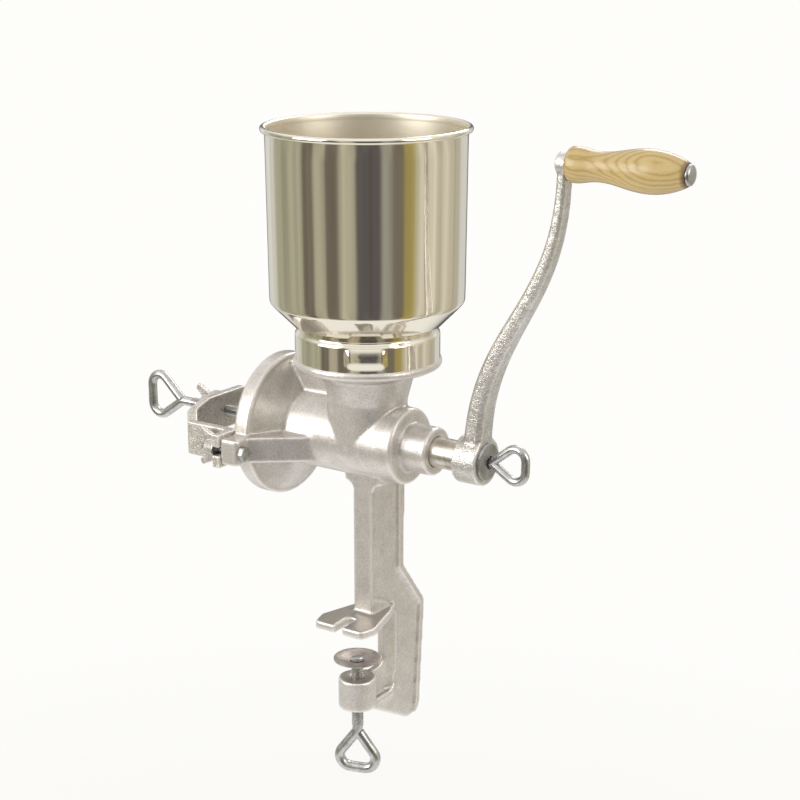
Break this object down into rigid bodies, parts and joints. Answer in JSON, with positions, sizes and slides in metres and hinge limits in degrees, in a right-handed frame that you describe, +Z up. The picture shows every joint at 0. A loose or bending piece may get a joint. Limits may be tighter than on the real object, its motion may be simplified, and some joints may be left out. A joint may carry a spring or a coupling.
{
  "type": "hand crank peanut grinder",
  "caption": "Table-clamped cast-iron burr mill with a tall open sheet-steel hopper, S-shaped crank with a wooden grip, adjusting bridge and screw clamp.",
  "frame": {"origin": "underside of the upper clamp jaw, on the clamp screw's axis, where the mill hangs on a table edge", "axes": "+Z up along the clamp screw; +X along the shaft towards the crank; +Y back from the table edge towards the leg's spine"},
  "size_m": [0.4599, 0.1486, 0.483],
  "materials": {
    "tinned_cast_iron": "satin tinned casting, slightly grainy",
    "crank_iron": "rougher tinned casting",
    "bridge_iron": "rougher tinned casting",
    "nut_iron": "tinned casting",
    "worm_iron": "tinned casting, turned on its bearing",
    "burr_iron": "hard grey iron with ground faces",
    "polished_steel": "mirror polished sheet steel",
    "plated_steel": "zinc plated",
    "bent_steel_rod": "bright plated round bar",
    "ball_steel": "polished",
    "pressed_steel_pad": "pressed steel, satin",
    "varnished_wood": "pale varnished wood"
  },
  "bodies": {
    "mill_frame": {"mill_body": "tinned_cast_iron", "fixed_burr_plate": "burr_iron", "burr_plate_screws": "plated_steel", "adjusting_bridge": "bridge_iron", "bridge_studs": "plated_steel", "bridge_washers": "plated_steel", "bridge_wing_nuts": "nut_iron"},
    "hopper": {"hopper": "polished_steel"},
    "thrust": {"thrust_ball": "ball_steel"},
    "rotor": {"feed_worm": "worm_iron", "rotating_burr_plate": "burr_iron", "drive_pin": "plated_steel", "crank_arm": "crank_iron", "crank_washer": "plated_steel", "crank_thumb_screw": "bent_steel_rod", "grip_pin": "plated_steel", "grip_washer": "plated_steel"},
    "grip": {"wooden_grip": "varnished_wood"},
    "adjuster": {"adjusting_screw": "bent_steel_rod"},
    "lock_nut": {"lock_nut": "nut_iron"},
    "clamp_foot": {"clamp_pad": "pressed_steel_pad"},
    "clamp_screw": {"clamp_screw": "bent_steel_rod"}
  },
  "joints": [
    {"name": "hopper_lift", "type": "slide", "parent": "mill_frame", "child": "hopper", "axis": [0, 0, 1], "range_m": [0, 0.045]},
    {"name": "burr_gap", "type": "slide", "parent": "mill_frame", "child": "thrust", "axis": [-1, 0, 0], "range_m": [0, 0.004]},
    {"name": "adjuster_turn", "type": "hinge", "parent": "thrust", "child": "adjuster", "pos_m": [-0.16, 0.026, 0.1345], "axis": [-1, 0, 0], "range_deg": [0, 1152.5]},
    {"name": "crank_turn", "type": "hinge", "parent": "thrust", "child": "rotor", "pos_m": [0.04, 0.026, 0.1345], "axis": [1, 0, 0], "continuous": true},
    {"name": "grip_spin", "type": "hinge", "parent": "rotor", "child": "grip", "pos_m": [0.195, 0.026, 0.3475], "axis": [1, 0, 0], "continuous": true},
    {"name": "lock_nut_turn", "type": "hinge", "parent": "mill_frame", "child": "lock_nut", "pos_m": [-0.158, 0.026, 0.1345], "axis": [-1, 0, 0], "range_deg": [0, 90]},
    {"name": "clamp_travel", "type": "slide", "parent": "mill_frame", "child": "clamp_foot", "axis": [0, 0, 1], "range_m": [-0.01, 0.019]},
    {"name": "clamp_turn", "type": "hinge", "parent": "clamp_foot", "child": "clamp_screw", "pos_m": [0, 0, -0.05], "axis": [0, 0, 1], "range_deg": [-2881, 5473]}
  ],
  "couplings": [
    {"joint": "adjuster_turn", "follows": "burr_gap", "rad_per_m": 5026.5},
    {"joint": "clamp_turn", "follows": "clamp_travel", "rad_per_m": 5026.5}
  ]
}
